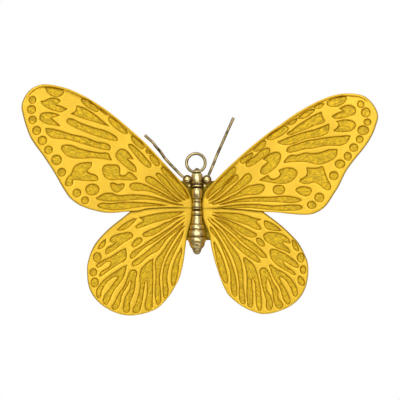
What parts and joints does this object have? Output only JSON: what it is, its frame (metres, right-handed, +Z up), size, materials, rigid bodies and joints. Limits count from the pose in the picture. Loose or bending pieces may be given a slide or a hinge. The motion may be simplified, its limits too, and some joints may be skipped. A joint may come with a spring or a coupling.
{
  "type": "butterfly wall ornament",
  "caption": "Hanging metal butterfly with veined yellow wings in low relief, a ringed brass body, wire antennae and a wire ring to hang it by.",
  "frame": {"origin": "inside top of the hanging ring, where a nail or hook would carry it", "axes": "+X to the viewer's right across the wings, +Y towards the wall, +Z up; the face looks along -Y"},
  "size_m": [0.176, 0.0234, 0.1145],
  "materials": {
    "wing_left_lacquer": "satin yellow lacquer",
    "wing_right_lacquer": "satin yellow lacquer",
    "body_brass": "polished, dark in the grooves",
    "antenna_left_brass": "aged",
    "antenna_right_brass": "aged",
    "ring_brass": "aged",
    "plate_brass": "dark, dull"
  },
  "bodies": {
    "root": {"wing_left": "wing_left_lacquer", "wing_right": "wing_right_lacquer", "body": "body_brass", "antenna_left": "antenna_left_brass", "antenna_right": "antenna_right_brass", "hanging_ring": "ring_brass", "back_plate": "plate_brass"}
  },
  "joints": []
}
